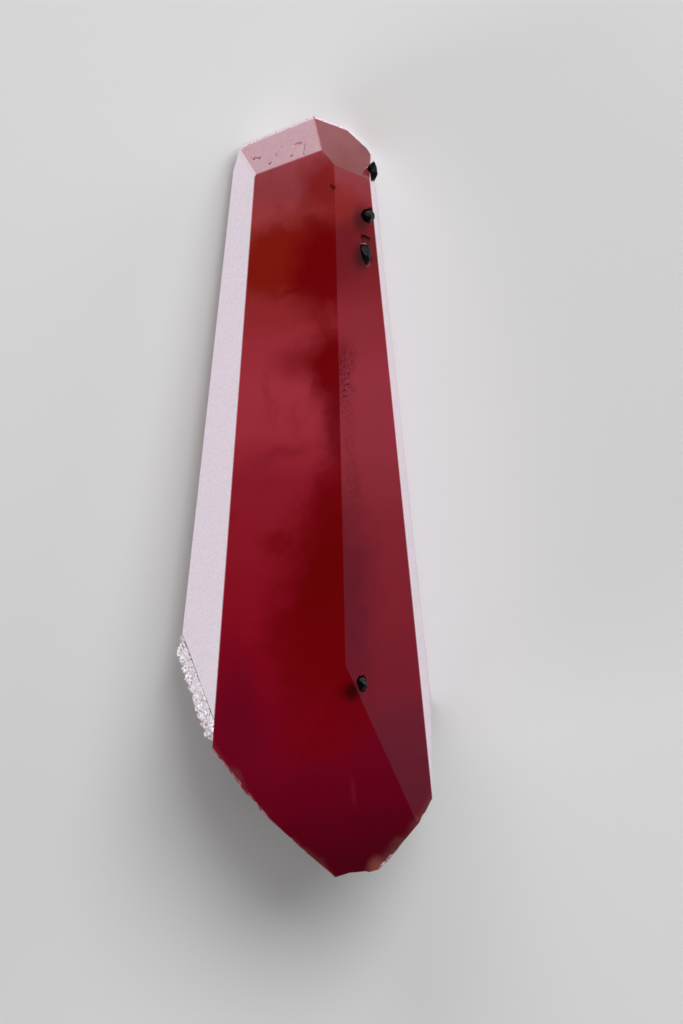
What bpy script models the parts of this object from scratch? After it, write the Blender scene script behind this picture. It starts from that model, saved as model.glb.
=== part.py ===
"""A steep rhodochrosite crystal with a patch of quartz crust and four small dark crystals.

The crystal is made upright, with its apex at the origin and its length down -Z, and then laid down
on one long face by its carrier. Every face is a plane: its compass azimuth about the length (0 faces
-Y), its rise above the horizontal, and its distance from the apex.
"""

import math
import random

import bmesh
import bpy
from mathutils import Matrix, Vector, geometry, noise

MM = 0.001

# Long faces: six steep planes in pairs, each pair either side of a 120 degree mark
PAIR_SPREAD = 19.6
TAPER = 5.53
LEFT_SIDE = (-60 - PAIR_SPREAD, 3.78 * MM)
FRONT_LEFT = (-60 + PAIR_SPREAD, 2.98 * MM)
FRONT_RIGHT = (60 - PAIR_SPREAD, 3.91 * MM)
RIGHT_SIDE = (60 + PAIR_SPREAD, 3.37 * MM)
RESTING_FACE = (180 - PAIR_SPREAD, 2.70 * MM)
BACK_LEFT = (180 + PAIR_SPREAD, 4.78 * MM)
LONG_FACES = (LEFT_SIDE, FRONT_LEFT, FRONT_RIGHT, RIGHT_SIDE, RESTING_FACE, BACK_LEFT)

# Cap: two flat faces that meet at the apex, and a bulging back
CAP_RISE = 46.4
CAP_LEFT = -60
CAP_RIGHT = 60
BACK_CAP = (188.0, 61.1)
SHOULDER = (-129.9, 27.4, 3.79 * MM)
RIM_RADIUS = 2.07 * MM
RIM_CENTRE_ACROSS = 1.28 * MM
RIM_CENTRE_DOWN = 2.66 * MM
RIM_FIRST, RIM_STEP = 156.0, -24.0
RIM_TILTS = (62, 60, 56, 52, 46, 40)

# Waist: how far down the front edge ends and two lower faces start
WAIST_DROP = 35.4 * MM

# Broken lower end: three cleavage planes, two of them stepped
CLEAVED_LEFT = (-120, 33.38 * MM)
CLEAVED_RIGHT = (120, 35.11 * MM)
TIP_FACE = (150.4, -77.3, 47.05 * MM)
CLEAVAGE_ANGLE = 103.0
BREAK_SIZE = 34 * MM
BREAK_CELLS = 52
BREAK_ALLOWANCE = 1.2 * MM
BREAK_MIDDLE = 0.9
LEDGE_HEIGHT = 0.12 * MM
LEDGE_RUN = 0.35 * MM
LEDGE_PATCH = 4 * MM
BREAK_WAVE = 0.12 * MM
BREAK_WAVELENGTH = 5 * MM

# Wide notch that leaves a chip beside the tip: its inner corner and its two sides
NOTCH_AT = Vector((1.85, -7.17, -49.07)) * MM
NOTCH_SIDES = ((-114.5, 71.4), (96.5, 67.2))

# Quartz crust in a hollow low on the left, that ends at a wall under the front left face's edge
CRUST_FACE = (-92.0, -16.0, 18.35 * MM)
WALL_INSET = 0.03 * MM
CRUST_DEPTH = 0.62 * MM
CRUST_RELIEF = 0.25 * MM
CRUST_GAP = 0.08 * MM
POINT_SPACING = 0.62 * MM
POINT_ROW_STEP = 0.87
POINT_JITTER = 0.12
POINT_ROWS = 12
POINT_MARGIN = 0.04 * MM
POINT_RADIUS = (0.30 * MM, 0.46 * MM)
POINT_HEIGHT = (-0.10 * MM, 0.12 * MM)
POINT_ROOT = 0.45 * CRUST_DEPTH
POINT_TIP = 1.1
POINT_LEAN = 26.0

# Dark crystals: long face, drop below the apex, distance across from the face's midline, size along
# the drop, across and out, how far the middle is sunk, and seed
DARK_CRYSTALS = {
    "dark_crystal_edge": (RIGHT_SIDE, 3.75, -0.80, (1.25, 0.62, 0.66), -0.14, 3),
    "dark_crystal_upper": (FRONT_RIGHT, 6.40, 0.26, (0.94, 1.06, 0.80), 0.04, 5),
    "dark_crystal_middle": (FRONT_RIGHT, 8.96, -0.24, (1.34, 0.86, 0.60), 0.12, 8),
    "dark_crystal_lower": (FRONT_RIGHT, 36.72, -3.86, (1.06, 0.84, 0.72), 0.04, 13),
}
DARK_GAP = 0.06 * MM
DARK_CUTS = 16
MIDDLE_PIT = (8.70, -0.16, (2.14, 1.10, 0.94))

# Etch pits on the left cap face: distance across and down from the apex, and width
ETCH_PITS = ((-2.48, 4.20, 0.24), (-0.62, 4.46, 0.20), (-2.95, 4.05, 0.14))
ETCH_DEPTH = 0.08 * MM

STOCK = 140 * MM
CUT_MERGE = 1e-7

# Where the apex comes to lie, so that the whole specimen is centred over the origin
APEX_AT = Vector((0.93, 24.35, 2.70)) * MM


def direction(azimuth, rise):
    """Unit vector at a compass azimuth and a rise, both in degrees."""
    a, r = math.radians(azimuth), math.radians(rise)
    return Vector((math.cos(r) * math.sin(a), -math.cos(r) * math.cos(a), math.sin(r)))


def plane(azimuth, rise, distance):
    """A face as its outward normal and a point on it."""
    normal = direction(azimuth, rise)
    return normal, normal * distance


def long_plane(face):
    return plane(face[0], TAPER, face[1])


def cleavage_plane(face):
    return plane(face[0], -CAP_RISE, face[1])


def on_long_face(face, drop, across):
    """Point on a long face, that far below the apex and that far across from the face's midline."""
    azimuth, distance = face
    a, t = math.radians(azimuth), math.radians(TAPER)
    reach = (distance + drop * math.sin(t)) / math.cos(t)
    outward = Vector((math.sin(a), -math.cos(a), 0))
    sideways = Vector((math.cos(a), math.sin(a), 0))
    return outward * reach + sideways * across - Vector((0, 0, drop))


def face_axes(normal):
    """Rotation whose X runs across a face, Y up it and Z out of it."""
    out = normal.normalized()
    across = Vector((0, 0, 1)).cross(out).normalized()
    return Matrix((across, out.cross(across), out)).transposed()


def keep_inside(bm, normal, point):
    """Cuts off what lies outside a plane and closes the cut."""
    whole = bm.verts[:] + bm.edges[:] + bm.faces[:]
    cut = bmesh.ops.bisect_plane(
        bm, geom=whole, dist=CUT_MERGE, plane_co=point, plane_no=normal, clear_outer=True
    )
    rim = [e for e in cut["geom_cut"] if isinstance(e, bmesh.types.BMEdge)]
    if rim:
        bmesh.ops.edgeloop_fill(bm, edges=rim)


def solid_between(planes, stock=STOCK):
    """Closed solid inside all the planes, cut from a cube of stock."""
    bm = bmesh.new()
    bmesh.ops.create_cube(bm, size=stock)
    for normal, point in planes:
        keep_inside(bm, normal, point)
    bmesh.ops.recalc_face_normals(bm, faces=bm.faces[:])
    return bm


def cap_planes():
    """The cap's two flat faces, its gentler back, the left shoulder and the right face's round rim."""
    left, right = direction(CAP_LEFT, CAP_RISE), direction(CAP_RIGHT, CAP_RISE)
    planes = [(left, Vector()), (right, Vector()), (direction(*BACK_CAP), Vector()), plane(*SHOULDER)]
    axes = face_axes(right)
    centre = axes @ Vector((RIM_CENTRE_ACROSS, -RIM_CENTRE_DOWN, 0))
    for i, tilt in enumerate(RIM_TILTS):
        turn, lean = math.radians(RIM_FIRST + i * RIM_STEP), math.radians(tilt)
        outward = axes @ Vector((math.sin(turn), -math.cos(turn), 0))
        normal = right * math.cos(lean) + outward * math.sin(lean)
        planes.append((normal, centre + outward * RIM_RADIUS))
    return planes


def waist():
    """Lower end of the front edge, where its two long faces meet."""
    (left, on_left), (right, on_right) = long_plane(FRONT_LEFT), long_plane(FRONT_RIGHT)
    start, along = geometry.intersect_plane_plane(on_left, left, on_right, right)
    return start - along * ((start.z + WAIST_DROP) / along.z)


def outer_planes():
    """The planes of the crystal before it was broken, and planes a little past its two stepped breaks."""
    lower = [(direction(side * PAIR_SPREAD, -TAPER), waist()) for side in (-1, 1)]
    breaks = [
        cleavage_plane((azimuth, far + BREAK_ALLOWANCE))
        for azimuth, far in (CLEAVED_LEFT, CLEAVED_RIGHT)
    ]
    return [long_plane(f) for f in LONG_FACES] + cap_planes() + lower + breaks


def mesh_object(name, bm, carrier, material=None):
    """Object made from a bmesh, carried by the specimen's carrier."""
    mesh = bpy.data.meshes.new(name)
    bm.to_mesh(mesh)
    bm.free()
    if material:
        mesh.materials.append(material)
    item = bpy.data.objects.new(name, mesh)
    bpy.context.scene.collection.objects.link(item)
    item.parent = carrier
    return item


def boolean(target, tool, operation):
    """Adds a live Boolean and hides its tool."""
    modifier = target.modifiers.new(tool.name, "BOOLEAN")
    modifier.operation = operation
    modifier.solver = "EXACT"
    modifier.object = tool
    tool.hide_render = True
    tool.display_type = "WIRE"


def step_relief(seed, ledges):
    """Height of a cleaved face: short ledges along its two cleavage traces, and a gentle wave."""
    rng = random.Random(seed)
    reach = BREAK_SIZE / 3
    traces = (0.0, math.radians(CLEAVAGE_ANGLE))
    steps = []
    for i in range(ledges):
        rise = LEDGE_HEIGHT * rng.uniform(0.4, 1) * (1 if i % 4 < 2 else -1)
        steps.append((traces[i % 2], rng.uniform(-reach, reach), rise, rng.uniform(0, 50)))

    def height(u, v):
        total = BREAK_WAVE * noise.noise(Vector((u, v, seed * MM)) / BREAK_WAVELENGTH)
        for trace, offset, rise, place in steps:
            past = (u * math.sin(trace) + v * math.cos(trace) - offset) / LEDGE_RUN
            patch = noise.noise(Vector((u / LEDGE_PATCH, v / LEDGE_PATCH, place))) * 5 + 0.8
            total += rise * min(max(past + 0.5, 0), 1) * min(max(patch, 0), 1)
        return total

    return height


def rough_cutter(name, face, relief, carrier):
    """Block past a cleavage plane, whose near side carries that relief."""
    normal, point = cleavage_plane(face)
    bm = bmesh.new()
    bmesh.ops.create_grid(bm, x_segments=BREAK_CELLS, y_segments=BREAK_CELLS, size=BREAK_SIZE / 2)
    for vertex in bm.verts:
        vertex.co.z = relief(vertex.co.x, vertex.co.y)
    grown = bmesh.ops.extrude_face_region(bm, geom=bm.faces[:])
    top = [v for v in grown["geom"] if isinstance(v, bmesh.types.BMVert)]
    for vertex in top:
        vertex.co.z = BREAK_SIZE
    middle = waist() * BREAK_MIDDLE
    centre = middle + normal * (point - middle).dot(normal)
    bmesh.ops.recalc_face_normals(bm, faces=bm.faces[:])
    bmesh.ops.transform(
        bm, matrix=Matrix.Translation(centre) @ face_axes(normal).to_4x4(), verts=bm.verts[:]
    )
    return mesh_object(name, bm, carrier)


def faceted_grain(seed, size):
    """Small crystal of irregular flat faces, with its longest axis along Y."""
    rng = random.Random(seed)
    planes = []
    for i in range(DARK_CUTS):
        height = 1 - 2 * (i + 0.5) / DARK_CUTS
        turn = i * math.pi * (3 - math.sqrt(5)) + rng.uniform(-0.4, 0.4)
        flat = math.sqrt(1 - height * height)
        normal = Vector((flat * math.cos(turn), flat * math.sin(turn), height))
        planes.append((normal, normal * rng.uniform(0.40, 0.52)))
    bm = solid_between(planes, stock=2)
    along, across, out = size
    bmesh.ops.scale(bm, vec=Vector((across, along, out)) * MM, verts=bm.verts[:])
    bmesh.ops.recalc_face_normals(bm, faces=bm.faces[:])
    return bm


def placed_on(bm, face, drop, across, sunk):
    """Turns a bmesh to a long face and sets it there, its middle sunk that far."""
    normal, _ = long_plane(face)
    place = on_long_face(face, drop * MM, across * MM) - normal * sunk * MM
    matrix = Matrix.Translation(place) @ face_axes(normal).to_4x4()
    bmesh.ops.transform(bm, matrix=matrix, verts=bm.verts[:])
    return bm


def etch_pit(bm, across, down, width):
    """Adds a shallow three-sided pit cutter, point inwards, to a bmesh on the left cap face."""
    normal = direction(CAP_LEFT, CAP_RISE)
    axes = face_axes(normal).to_4x4()
    place = Matrix.Translation(axes @ Vector((across * MM, -down * MM, 0)))
    bmesh.ops.create_cone(
        bm,
        segments=3,
        radius1=0,
        radius2=width * MM,
        depth=2 * ETCH_DEPTH,
        cap_ends=True,
        matrix=place @ axes,
    )


def quartz_point(bm, rng, foot, normal):
    """Adds one stubby six-sided quartz crystal with a pointed end, rooted below its foot."""
    radius = rng.uniform(*POINT_RADIUS)
    height = rng.uniform(*POINT_HEIGHT)
    lean = Matrix.Rotation(math.radians(rng.uniform(0, POINT_LEAN)), 4, "X")
    turn = Matrix.Rotation(rng.uniform(0, math.tau), 4, "Z")
    spin = Matrix.Rotation(rng.uniform(0, math.tau), 4, "Z")
    stem = Matrix.Translation((0, 0, (height - POINT_ROOT) / 2))
    base = Matrix.Translation(foot) @ face_axes(normal).to_4x4() @ turn @ lean @ spin
    made = bmesh.ops.create_cone(
        bm,
        segments=6,
        radius1=radius,
        radius2=radius,
        depth=height + POINT_ROOT,
        cap_ends=True,
        matrix=base @ stem,
    )
    tip = max((f for v in made["verts"] for f in v.link_faces if len(f.verts) == 6), key=facing(base))
    poked = bmesh.ops.poke(bm, faces=[tip])
    poked["verts"][0].co += (base.to_3x3() @ Vector((0, 0, 1))) * radius * POINT_TIP


def facing(base):
    """Sort key: how much a face looks along the base's Z."""
    axis = base.to_3x3() @ Vector((0, 0, 1))
    return lambda face: face.calc_center_median().dot(axis)


def crust_wall(inset):
    """Plane square to the front left face, that far inside its left edge."""
    (left, on_left), (front, on_front) = long_plane(LEFT_SIDE), long_plane(FRONT_LEFT)
    start, along = geometry.intersect_plane_plane(on_left, left, on_front, front)
    inward = along.cross(front).normalized()
    if inward.dot(left) > 0:
        inward.negate()
    return inward, start + inward * inset


def crust_points(centre, carrier):
    """Quartz points over the slab's outer face, in four sets whose members stay apart."""
    normal, _ = plane(*CRUST_FACE)
    axes = face_axes(normal)
    sides = [long_plane(f) for f in LONG_FACES] + [cleavage_plane(CLEAVED_LEFT)]
    sides.append(crust_wall(WALL_INSET - CRUST_GAP))
    rng = random.Random(21)
    sets = [bmesh.new() for _ in range(4)]
    for row in range(-POINT_ROWS, POINT_ROWS + 1):
        for column in range(-POINT_ROWS, POINT_ROWS + 1):
            jitter = Vector((rng.uniform(-1, 1), rng.uniform(-1, 1), 0)) * POINT_JITTER
            flat = Vector((column + row % 2 / 2, row * POINT_ROW_STEP, 0)) + jitter
            foot = centre + axes @ flat * POINT_SPACING
            if all((foot - p).dot(n) < -POINT_MARGIN for n, p in sides):
                quartz_point(sets[row % 2 * 2 + column % 2], rng, foot, normal)
    return [mesh_object(f"quartz_points_{i}", bm, carrier) for i, bm in enumerate(sets)]


def make_crystal(carrier, material):
    """The rhodochrosite: its whole form, the crust's hollow, broken end, notch and etch pits."""
    bm = solid_between(outer_planes() + [plane(*TIP_FACE)])
    crystal = mesh_object("rhodochrosite_crystal", bm, carrier, material)
    normal, point = plane(*CRUST_FACE)
    hollow = solid_between([(-normal, point - normal * CRUST_DEPTH), crust_wall(WALL_INSET)])
    boolean(crystal, mesh_object("crust_hollow", hollow, carrier), "DIFFERENCE")
    for name, face, seed, ledges in (
        ("break_left", CLEAVED_LEFT, 118, 22),
        ("break_right", CLEAVED_RIGHT, 14, 16),
    ):
        boolean(crystal, rough_cutter(name, face, step_relief(seed, ledges), carrier), "DIFFERENCE")
    notch = solid_between([(direction(*side), NOTCH_AT) for side in NOTCH_SIDES])
    boolean(crystal, mesh_object("notch", notch, carrier), "DIFFERENCE")
    pits = bmesh.new()
    for across, down, width in ETCH_PITS:
        etch_pit(pits, across, down, width)
    boolean(crystal, mesh_object("etch_pits", pits, carrier), "DIFFERENCE")
    return crystal


def make_crust(carrier, material):
    """The quartz crust: a slab on the contact with its points fused to it."""
    normal, point = plane(*CRUST_FACE)
    back = point - normal * (CRUST_DEPTH - CRUST_GAP)
    top = point - normal * CRUST_RELIEF
    slab_planes = [cleavage_plane(CLEAVED_LEFT), (normal, top), (-normal, back)]
    slab_planes.append(crust_wall(WALL_INSET - CRUST_GAP))
    slab = solid_between(outer_planes() + slab_planes)
    centre = max(slab.faces, key=lambda face: face.normal.dot(normal)).calc_center_median()
    crust = mesh_object("quartz_crust", slab, carrier, material)
    for points in crust_points(centre, carrier):
        boolean(crust, points, "UNION")
    trim = bmesh.new()
    bmesh.ops.create_cube(trim, size=40 * MM)
    below = Matrix.Translation(back - normal * 20 * MM) @ face_axes(normal).to_4x4()
    bmesh.ops.transform(trim, matrix=below, verts=trim.verts[:])
    boolean(crust, mesh_object("crust_seat", trim, carrier), "DIFFERENCE")
    return crust


def make_dark_crystals(crystal, carrier, material):
    """Four dark crystals, each in a pit of its own in the big crystal."""
    for name, (face, drop, across, size, sunk, seed) in DARK_CRYSTALS.items():
        grain = placed_on(faceted_grain(seed, size), face, drop, across, sunk)
        mesh_object(name, grain, carrier, material)
        if name == "dark_crystal_middle":
            drop, across, size = MIDDLE_PIT
        room = [s + 2 * DARK_GAP / MM for s in size]
        pit = placed_on(faceted_grain(seed, room), face, drop, across, sunk)
        boolean(crystal, mesh_object(f"pit_{name}", pit, carrier), "DIFFERENCE")


def finish(name, colour, roughness, metallic):
    """Plain material with a colour, a roughness and a metallic value."""
    material = bpy.data.materials.new(name)
    material.use_nodes = True
    shader = material.node_tree.nodes["Principled BSDF"]
    shader.inputs["Base Color"].default_value = (*colour, 1)
    shader.inputs["Roughness"].default_value = roughness
    shader.inputs["Metallic"].default_value = metallic
    return material


def clear_scene():
    for item in list(bpy.data.objects):
        bpy.data.objects.remove(item)


def main():
    clear_scene()
    carrier = bpy.data.objects.new("specimen_carrier", None)
    bpy.context.scene.collection.objects.link(carrier)
    lay = Matrix.Rotation(math.radians(-90 - TAPER), 4, "X")
    roll = Matrix.Rotation(math.radians(PAIR_SPREAD), 4, "Z")
    carrier.matrix_world = Matrix.Translation(APEX_AT) @ lay @ roll
    red = finish("rhodochrosite", (0.42, 0.02, 0.05), 0.15, 0.0)
    white = finish("quartz", (0.82, 0.80, 0.82), 0.35, 0.0)
    dark = finish("dark_crystal", (0.02, 0.02, 0.02), 0.25, 0.6)
    crystal = make_crystal(carrier, red)
    make_crust(carrier, white)
    make_dark_crystals(crystal, carrier, dark)


main()
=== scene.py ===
"""Looks of a steep rhodochrosite crystal with a patch of quartz crust and four dark crystals.

The crystal lies on one long face, its flat-faced cap towards +Y and its broken end towards -Y.
"""

import math
import random

import bmesh
import bpy
from mathutils import Matrix, Vector, noise


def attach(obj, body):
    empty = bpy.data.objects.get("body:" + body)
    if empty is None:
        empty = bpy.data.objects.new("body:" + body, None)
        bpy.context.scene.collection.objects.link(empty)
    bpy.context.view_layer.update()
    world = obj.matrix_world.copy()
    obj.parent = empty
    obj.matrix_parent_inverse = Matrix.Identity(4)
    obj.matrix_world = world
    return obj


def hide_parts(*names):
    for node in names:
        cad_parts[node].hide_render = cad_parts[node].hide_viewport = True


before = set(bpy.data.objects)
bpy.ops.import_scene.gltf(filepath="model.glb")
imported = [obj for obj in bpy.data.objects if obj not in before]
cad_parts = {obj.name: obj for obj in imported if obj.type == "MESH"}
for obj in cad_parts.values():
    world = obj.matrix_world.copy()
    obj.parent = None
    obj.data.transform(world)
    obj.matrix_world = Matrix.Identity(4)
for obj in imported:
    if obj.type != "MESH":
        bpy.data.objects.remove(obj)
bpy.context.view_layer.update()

MM = 0.001

# Crystal frame: apex at the origin, length down -Z, azimuth 0 facing -Y, and how it is laid down
APEX_AT = Vector((0.93, 24.35, 2.70)) * MM
PAIR_SPREAD = 19.6
TAPER = 5.53
CAP_RISE = 46.4

# Camera: direction to it, the picture's up, the middle and height of what it frames in metres, its
# lens and sensor in millimetres, and what it sees between in metres, with half the floor's width
TO_CAMERA = Vector((0.2122, 0.1926, 0.9580))
PICTURE_UP = Vector((-0.0147, 0.9809, -0.1939))
FRAME_RIGHT = 1.827 * MM
FRAME_DOWN = 26.08 * MM
FRAME_NEAR = 3.0 * MM
FRAME_HEIGHT = 67.07 * MM
LENS = 500
FILM_SIZE = 36
CLIP = (0.01, 10)
FLOOR_REACH = 3

# How near corners merge, how near a cut passes a corner, and the angle under which faces are one
MERGE = 0.0005 * MM
CUT_MERGE = 0.0001 * MM
FLAT_ANGLE = math.radians(0.4)

# Wear along the crystal's edges, its worn facets carrying painted highlight lines: the shortest
# edge and least frosting and sheen, angle in degrees and slack outside it that count, the width and
# how much more the frosting and sheen add to it, and the shares of both sides' frosting and sheen
WEAR_SHORTEST = 0.4 * MM
WEAR_LEAST = 0.08
WEAR_ANGLE = 6.0
WEAR_SLACK = 0.004 * MM
WEAR_WIDTH = 0.08 * MM
WEAR_BY_FROST_SHEEN = 0.36 * MM
WORN_SHARES = (0.3, 1.3)
# The same along the cap's rim: the shortest edge, widths beside the cap, beside other faces and on
# the hidden side, and how much deeper the rim's own facets are set
RIM_SHORTEST = 0.25 * MM
WEAR_ON_RIM = 0.20 * MM
RIM_ROUND = 0.36 * MM
CAP_RIM = 0.16 * MM
RIM_DEEPER = 0.05 * MM


def lay_down():
    """Matrix that lays the upright crystal on its resting face."""
    lay = Matrix.Rotation(math.radians(-90 - TAPER), 4, "X")
    roll = Matrix.Rotation(math.radians(PAIR_SPREAD), 4, "Z")
    return Matrix.Translation(APEX_AT) @ lay @ roll


LAID = lay_down()


def upright(azimuth, rise):
    """Unit normal of a face of the upright crystal, from its azimuth and rise in degrees."""
    a, r = math.radians(azimuth), math.radians(rise)
    return Vector((math.cos(r) * math.sin(a), -math.cos(r) * math.cos(a), math.sin(r)))


def facing(azimuth, rise):
    """Unit normal of the same face as the crystal lies."""
    return LAID.to_3x3() @ upright(azimuth, rise)


FACES = {
    "left_side": facing(-60 - PAIR_SPREAD, TAPER),
    "front_left": facing(-60 + PAIR_SPREAD, TAPER),
    "front_right": facing(60 - PAIR_SPREAD, TAPER),
    "right_side": facing(60 + PAIR_SPREAD, TAPER),
    "resting": facing(180 - PAIR_SPREAD, TAPER),
    "back_left": facing(180 + PAIR_SPREAD, TAPER),
    "cap_left": facing(-60, CAP_RISE),
    "cap_right": facing(60, CAP_RISE),
    "cap_back": facing(188.0, 61.1),
    "shoulder": facing(-129.9, 27.4),
    "lower_left": facing(-PAIR_SPREAD, -TAPER),
    "lower_right": facing(PAIR_SPREAD, -TAPER),
}
COS_SAME = math.cos(math.radians(4))
COS_RIM = math.cos(math.radians(66))
CAP_NAMES = {"cap_left", "cap_right"}
HIDDEN_NAMES = {"cap_back", "shoulder", "resting"}
FRONT_NAMES = {"front_left", "front_right", "lower_left", "lower_right"}
RIGHT_NAMES = {"front_right", "right_side"}

# Broken end: the two cleavage planes, each with a point on it
BREAK_LEFT = (facing(-120, -CAP_RISE), LAID @ (33.38 * MM * upright(-120, -CAP_RISE)))
BREAK_RIGHT = (facing(120, -CAP_RISE), LAID @ (35.11 * MM * upright(120, -CAP_RISE)))
BREAKS = (BREAK_LEFT, BREAK_RIGHT)

# How strongly each face shows its pale frosting, whose pale colour is a painted sheen of the lights
FROST_SHEEN = {
    "left_side": 1.0,
    "right_side": 0.87,
    "cap_left": 0.41,
    "cap_right": 0.0,
    "back_left": 0.25,
    "front_left": 0.0,
    "front_right": 0.0,
    "lower_left": 0.0,
    "lower_right": 0.0,
    "resting": 0.0,
    "cap_back": 0.9,
    "shoulder": 0.9,
}
# How much a face that the lights favour is darkened
SHADED = {"lower_right": 0.13, "cap_right": 0.30}
# Pale frosting with painted sheen on the rim facets, on the breaks, as patchy painted glints on the
# breaks' worn outlines, and in pits, and how near two strengths count as the same
FROST_SHEEN_ON_RIM = 0.85
FROST_SHEEN_ON_BREAK = 0.10
GLINTS_ON_BREAK_EDGE = (0.25, 1.0)
FROST_SHEEN_IN_PIT = 0.05
SAME_FROST_SHEEN = 0.0001
BREAK_DEPTH = 1.4 * MM

# Dark crystals: where each sits in millimetres, and the reach of its pit and of its soft shadow
DARK_PLACES = {
    "dark_crystal_edge": ((4.55, 19.60, 3.60), 1.0, 0.60),
    "dark_crystal_upper": ((4.40, 18.05, 5.60), 0.9, 1.35),
    "dark_crystal_middle": ((4.55, 15.70, 6.20), 1.5, 1.35),
    "dark_crystal_lower": ((4.95, -11.75, 13.60), 0.9, 1.05),
}
# How far a soft shadow lies beside its crystal, and small dark flecks as a place and a reach
SHADOW_SHIFT = (-0.25, -0.12, 0.1)
FLECKS = (
    ((3.23, 20.40, 7.62), 0.20),
    ((3.03, 20.52, 7.60), 0.16),
    ((4.93, 16.75, 5.91), 0.20),
)
SHADOW_STRENGTH = 0.85
FLECK_STRENGTH = 0.7


def rgb(red, green, blue):
    """Linear colour from display values of 0 to 255."""
    def linear(value):
        value /= 255
        return value / 12.92 if value <= 0.04045 else ((value + 0.055) / 1.055) ** 2.4
    return (linear(red), linear(green), linear(blue), 1.0)


class Paint:
    """Builds a material's nodes by name."""

    def __init__(self, name):
        self.material = bpy.data.materials.new(name)
        self.material.use_nodes = True
        self.tree = self.material.node_tree
        self.shader = self.tree.nodes["Principled BSDF"]
        self.output = self.tree.nodes["Material Output"]

    def add(self, kind, **settings):
        item = self.tree.nodes.new("ShaderNode" + kind)
        for key, value in settings.items():
            setattr(item, key, value)
        return item

    def join(self, value, socket):
        """Links an output to a socket, or sets the socket to a constant."""
        if isinstance(value, bpy.types.NodeSocket):
            self.tree.links.new(value, socket)
        else:
            socket.default_value = value

    def set(self, **values):
        for key, value in values.items():
            self.join(value, self.shader.inputs[key.replace("_", " ")])

    def place(self):
        """Object coordinates in millimetres."""
        coordinates = self.add("TexCoord")
        scale = self.add("VectorMath", operation="SCALE")
        self.join(coordinates.outputs["Object"], scale.inputs[0])
        scale.inputs["Scale"].default_value = 1 / MM
        return scale.outputs[0]

    def scaled(self, place, scale):
        """Places drawn together or out along each axis."""
        mapping = self.add("Mapping")
        self.join(place, mapping.inputs["Vector"])
        mapping.inputs["Scale"].default_value = scale
        return mapping.outputs[0]

    def noise(self, place, scale, detail=3.0, roughness=0.5):
        item = self.add("TexNoise")
        self.join(place, item.inputs["Vector"])
        item.inputs["Scale"].default_value = scale
        item.inputs["Detail"].default_value = detail
        item.inputs["Roughness"].default_value = roughness
        return item.outputs["Fac"]

    def cells(self, place, scale):
        item = self.add("TexVoronoi", feature="F1")
        self.join(place, item.inputs["Vector"])
        item.inputs["Scale"].default_value = scale
        return item.outputs["Distance"]

    def math(self, operation, first, second):
        item = self.add("Math", operation=operation)
        self.join(first, item.inputs[0])
        self.join(second, item.inputs[1])
        return item.outputs[0]

    def spread(self, value, low, high, to_low=0.0, to_high=1.0, smooth=True):
        """Maps a range of a value to another, held at its ends."""
        kind = "SMOOTHSTEP" if smooth else "LINEAR"
        item = self.add("MapRange", interpolation_type=kind, clamp=True)
        self.join(value, item.inputs["Value"])
        keys = ("From Min", "From Max", "To Min", "To Max")
        for key, number in zip(keys, (low, high, to_low, to_high)):
            item.inputs[key].default_value = number
        return item.outputs[0]

    def blend(self, share, first, second):
        item = self.add("Mix", data_type="RGBA", blend_type="MIX", clamp_factor=True)
        self.join(share, item.inputs["Factor"])
        self.join(first, item.inputs[6])
        self.join(second, item.inputs[7])
        return item.outputs[2]

    def ramp(self, value, stops, low, high):
        """Colour along a value, from stops at places between low and high."""
        item = self.add("ValToRGB")
        item.color_ramp.interpolation = "EASE"
        self.join(self.spread(value, low, high, smooth=False), item.inputs["Fac"])
        elements = item.color_ramp.elements
        while len(elements) < len(stops):
            elements.new(0.5)
        for element, (at, colour) in zip(elements, stops):
            element.position = (at - low) / (high - low)
            element.color = colour
        return item.outputs["Color"]

    def both(self, first, second):
        """Product of two strengths."""
        return self.math("MULTIPLY", first, second)

    def attribute(self, name):
        return self.add("Attribute", attribute_name=name).outputs["Fac"]

    def axis(self, place, name):
        split = self.add("SeparateXYZ")
        self.join(place, split.inputs[0])
        return split.outputs[name]

    def wander(self, place, scale, reach):
        """Moves places about by a smooth noise, as far as half the reach each way."""
        drift = self.add("TexNoise")
        self.join(place, drift.inputs["Vector"])
        drift.inputs["Scale"].default_value = scale
        drift.inputs["Detail"].default_value = 2.0
        moved = self.add("VectorMath", operation="MULTIPLY_ADD")
        self.join(drift.outputs["Color"], moved.inputs[0])
        moved.inputs[1].default_value = (reach,) * 3
        self.join(place, moved.inputs[2])
        back = self.add("VectorMath", operation="SUBTRACT")
        self.join(moved.outputs[0], back.inputs[0])
        back.inputs[1].default_value = (reach / 2,) * 3
        return back.outputs[0]

    def cloud(self, sheet, middle, reach, start, strength, turn=0.0, fray=None):
        """Soft-bordered, turned oval: its strength inside, down to nothing at its frayed reach."""
        item = self.add("Mapping", vector_type="TEXTURE")
        self.join(sheet, item.inputs["Vector"])
        item.inputs["Location"].default_value = (*middle, 0)
        item.inputs["Rotation"].default_value = (0, 0, math.radians(turn))
        item.inputs["Scale"].default_value = (*reach, 1)
        length = self.add("VectorMath", operation="LENGTH")
        self.join(item.outputs[0], length.inputs[0])
        out = length.outputs["Value"]
        if fray is not None:
            out = self.math("ADD", out, fray)
        return self.spread(out, 1.0, start * CLOUD_SOFTNESS, 0.0, strength)

    def away_from(self, place, point):
        """Distance in millimetres from a point."""
        item = self.add("VectorMath", operation="DISTANCE")
        self.join(place, item.inputs[0])
        item.inputs[1].default_value = point
        return item.outputs["Value"]

    def beyond(self, place, normal, point):
        """Distance in millimetres past a plane."""
        item = self.add("VectorMath", operation="DOT_PRODUCT")
        self.join(place, item.inputs[0])
        item.inputs[1].default_value = normal
        return self.math("SUBTRACT", item.outputs["Value"], normal.dot(point) / MM)

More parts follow.
